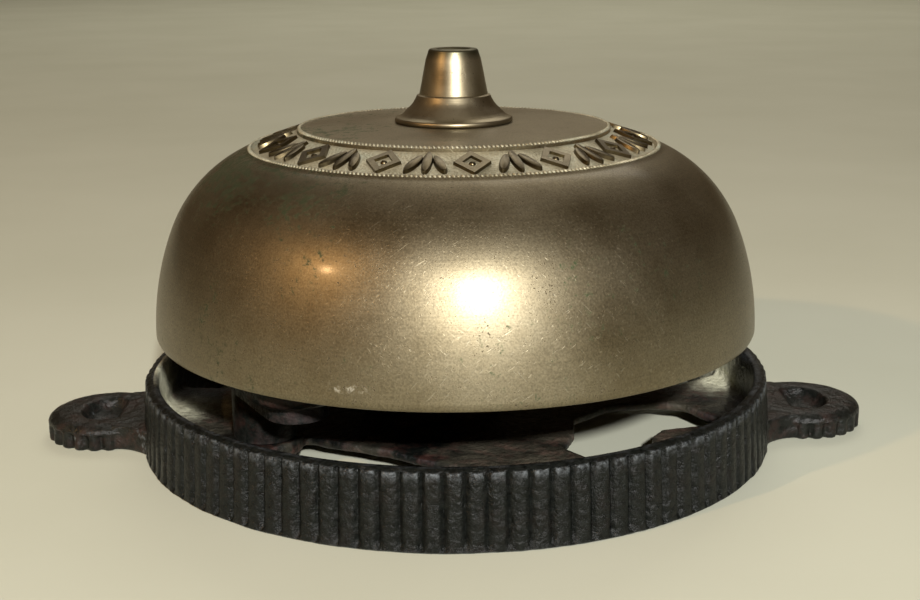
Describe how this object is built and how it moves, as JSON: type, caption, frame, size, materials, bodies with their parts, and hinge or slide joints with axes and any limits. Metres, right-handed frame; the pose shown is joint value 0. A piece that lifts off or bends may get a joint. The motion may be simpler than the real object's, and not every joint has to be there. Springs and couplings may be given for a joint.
{
  "type": "mechanical door bell",
  "caption": "Old mechanical door bell lying on its back: a domed metal gong held by a turned knob over a ribbed iron ring with screw ears, with hammer works inside.",
  "frame": {"origin": "centre of the bell on the back face of the base ring, the face that meets the door", "axes": "+Z along the gong's axis towards the knob; +X towards the right screw ear; -Y is the side the hammer strikes towards"},
  "size_m": [0.178, 0.1346, 0.0825],
  "materials": {
    "base_casting": "worn black",
    "gong": "aged bell metal",
    "gong_nut": "polished, worn",
    "gong_post": "dull",
    "post_lock_nut": "dull",
    "gong_seat_washer": "hard leather",
    "hammer_screw": "dull",
    "hammer_washer": "dull",
    "hammer_arm": "rough",
    "hammer_head": "blackened",
    "spindle_bush": "dull",
    "thrust_washer": "dull",
    "drive_crank": "rough",
    "drive_pin": "worn bright",
    "bridge_plate": "dull",
    "bridge_screws": "dull",
    "centring_spring": "oiled",
    "spring_anchor_pin": "dull",
    "stop_stud": "dull",
    "stop_sleeve": "hard leather"
  },
  "bodies": {
    "bell_base": {"base_casting": "base_casting", "gong": "gong", "gong_nut": "gong_nut", "gong_post": "gong_post", "post_lock_nut": "post_lock_nut", "gong_seat_washer": "gong_seat_washer", "hammer_screw": "hammer_screw", "hammer_washer": "hammer_washer", "spindle_bush": "spindle_bush", "thrust_washer": "thrust_washer", "bridge_plate": "bridge_plate", "bridge_screws": "bridge_screws", "centring_spring": "centring_spring", "spring_anchor_pin": "spring_anchor_pin", "stop_stud": "stop_stud", "stop_sleeve": "stop_sleeve"},
    "hammer": {"hammer_arm": "hammer_arm", "hammer_head": "hammer_head"},
    "crank": {"drive_crank": "drive_crank", "drive_pin": "drive_pin"}
  },
  "joints": [
    {"name": "crank_turn", "type": "hinge", "parent": "bell_base", "child": "crank", "pos_m": [-0.012, 0.028, 0], "axis": [0, 0, 1], "range_deg": [-31, 4.7], "stiffness_Nm_per_rad": 0.12, "deforming": ["centring_spring"]},
    {"name": "hammer_swing", "type": "hinge", "parent": "bell_base", "child": "hammer", "pos_m": [-0.0395, -0.0218, 0], "axis": [0, 0, 1], "range_deg": [-2.97, 19.54]}
  ],
  "couplings": [
    {"joint": "hammer_swing", "follows": "crank_turn", "ratio": -0.63}
  ]
}
